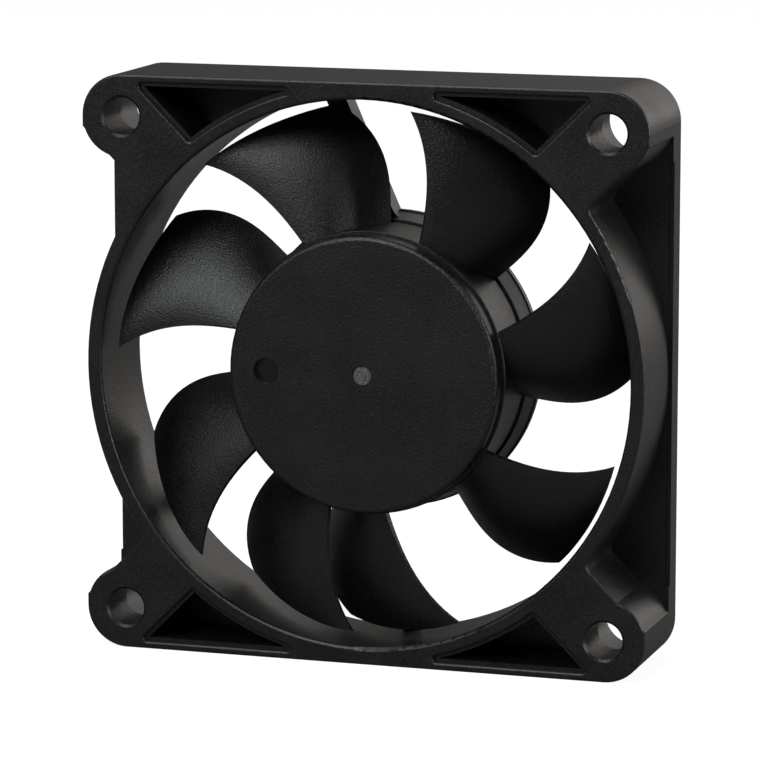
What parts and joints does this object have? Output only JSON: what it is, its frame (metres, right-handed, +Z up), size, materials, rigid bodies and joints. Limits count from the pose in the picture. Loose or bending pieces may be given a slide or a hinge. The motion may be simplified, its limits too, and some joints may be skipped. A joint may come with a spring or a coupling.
{
  "type": "axial cooling fan",
  "caption": "Thin square axial cooling fan with swept blades on a ball-bearing rotor, a brushless motor inside the hub and corner mounting holes.",
  "frame": {"origin": "centre of the square frame, on the fan's axis, halfway between its front and rear faces", "axes": "-Y along the fan's axis towards the open front (intake) face with the bare hub, +Z up, +X to the right seen from the front"},
  "size_m": [0.07, 0.015, 0.07],
  "materials": {
    "frame_plastic": "spark-eroded black glass-filled plastic",
    "impeller_plastic": "spark-eroded black plastic",
    "brass": "turned",
    "core_steel": "stacked stamped plates",
    "insulator_plastic": "natural nylon",
    "copper": "enamelled copper wire",
    "board": "green solder mask",
    "tinned_steel": "tinned",
    "component_black": "moulded epoxy",
    "component_tan": "fired ceramic",
    "zinc_steel": "zinc plated",
    "magnet": "rubber-bonded ferrite",
    "bearing_steel": "ground steel"
  },
  "bodies": {
    "frame": {"housing": "frame_plastic", "bearing_tube": "brass", "stator_laminations": "core_steel", "front_insulator": "insulator_plastic", "rear_insulator": "insulator_plastic", "coils": "copper", "circuit_board": "board", "winding_pins": "tinned_steel", "drive_chip": "component_black", "hall_sensor": "component_black", "diode": "component_black", "capacitors": "component_tan", "resistors": "component_black", "solder_pads": "tinned_steel", "front_bearing_outer_ring": "bearing_steel", "rear_bearing_outer_ring": "bearing_steel", "front_bearing_shields": "zinc_steel", "rear_bearing_shields": "zinc_steel"},
    "rotor": {"impeller": "impeller_plastic", "rotor_yoke": "zinc_steel", "rotor_magnet": "magnet", "shaft": "bearing_steel", "shaft_bushing": "brass", "spring_washer": "bearing_steel", "thrust_washer": "bearing_steel", "retaining_ring": "bearing_steel", "front_bearing_inner_ring": "bearing_steel", "rear_bearing_inner_ring": "bearing_steel"},
    "front_ball_set": {"front_bearing_balls": "bearing_steel", "front_bearing_cage": "bearing_steel"},
    "rear_ball_set": {"rear_bearing_balls": "bearing_steel", "rear_bearing_cage": "bearing_steel"}
  },
  "joints": [
    {"name": "rotor_spin", "type": "hinge", "parent": "frame", "child": "rotor", "pos_m": [0, 0, 0], "axis": [0, -1, 0], "continuous": true},
    {"name": "front_balls_roll", "type": "hinge", "parent": "frame", "child": "front_ball_set", "pos_m": [0, 0, 0], "axis": [0, -1, 0], "continuous": true},
    {"name": "rear_balls_roll", "type": "hinge", "parent": "frame", "child": "rear_ball_set", "pos_m": [0, 0, 0], "axis": [0, -1, 0], "continuous": true}
  ],
  "couplings": [
    {"joint": "front_balls_roll", "follows": "rotor_spin", "ratio": 0.3913},
    {"joint": "rear_balls_roll", "follows": "rotor_spin", "ratio": 0.3913}
  ]
}
